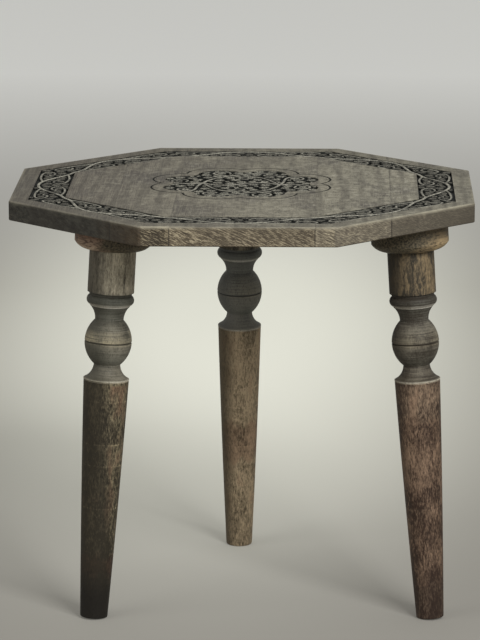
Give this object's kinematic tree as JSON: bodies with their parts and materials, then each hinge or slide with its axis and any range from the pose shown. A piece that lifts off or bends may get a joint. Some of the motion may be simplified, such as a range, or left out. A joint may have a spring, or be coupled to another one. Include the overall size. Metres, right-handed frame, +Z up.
{
  "type": "side table",
  "caption": "Low octagonal side table with a carved band and medallion, on turned splayed legs that screw into round pads.",
  "frame": {"origin": "on the floor, under the middle of the octagonal top", "axes": "+Z up; -Y towards the front edge that the picture shows; the boards run along Y"},
  "size_m": [0.4, 0.4, 0.369],
  "materials": {
    "top_wood": "washed, grey-brown, worn at the arrises",
    "leg_wood": "dark stained, rubbed, brown",
    "pad_wood": "dark stained, brown",
    "zinc_steel": "zinc plated"
  },
  "bodies": {
    "table_top": {"top_board_1": "top_wood", "top_board_2": "top_wood", "top_board_3": "top_wood", "top_board_4": "top_wood", "top_board_5": "top_wood", "leg_pad_left": "pad_wood", "threaded_insert_left": "zinc_steel", "pad_screws_left": "zinc_steel", "leg_pad_right": "pad_wood", "threaded_insert_right": "zinc_steel", "pad_screws_right": "zinc_steel", "leg_pad_back": "pad_wood", "threaded_insert_back": "zinc_steel", "pad_screws_back": "zinc_steel"},
    "bolt_left": {"hanger_bolt_left": "zinc_steel"},
    "turned_leg_left": {"leg_left": "leg_wood"},
    "bolt_right": {"hanger_bolt_right": "zinc_steel"},
    "turned_leg_right": {"leg_right": "leg_wood"},
    "bolt_back": {"hanger_bolt_back": "zinc_steel"},
    "turned_leg_back": {"leg_back": "leg_wood"}
  },
  "joints": [
    {"name": "leg_left_draw_out", "type": "slide", "parent": "table_top", "child": "bolt_left", "axis": [-0.0564, -0.038, -0.9977], "range_m": [0, 0.0175]},
    {"name": "leg_left_unscrew", "type": "hinge", "parent": "bolt_left", "child": "turned_leg_left", "pos_m": [-0.1109, -0.0748, 0.32606], "axis": [-0.0564, -0.038, -0.9977], "range_deg": [0, 5040]},
    {"name": "leg_right_draw_out", "type": "slide", "parent": "table_top", "child": "bolt_right", "axis": [0.0611, -0.0298, -0.9977], "range_m": [0, 0.0175]},
    {"name": "leg_right_unscrew", "type": "hinge", "parent": "bolt_right", "child": "turned_leg_right", "pos_m": [0.1454, -0.07092, 0.32606], "axis": [0.0611, -0.0298, -0.9977], "range_deg": [0, 5040]},
    {"name": "leg_back_draw_out", "type": "slide", "parent": "table_top", "child": "bolt_back", "axis": [-0.0036, 0.0679, -0.9977], "range_m": [0, 0.0175]},
    {"name": "leg_back_unscrew", "type": "hinge", "parent": "bolt_back", "child": "turned_leg_back", "pos_m": [-0.00726, 0.13858, 0.32606], "axis": [-0.0036, 0.0679, -0.9977], "range_deg": [0, 5040]}
  ],
  "couplings": [
    {"joint": "leg_left_unscrew", "follows": "leg_left_draw_out", "rad_per_m": 5026.5},
    {"joint": "leg_right_unscrew", "follows": "leg_right_draw_out", "rad_per_m": 5026.5},
    {"joint": "leg_back_unscrew", "follows": "leg_back_draw_out", "rad_per_m": 5026.5}
  ]
}
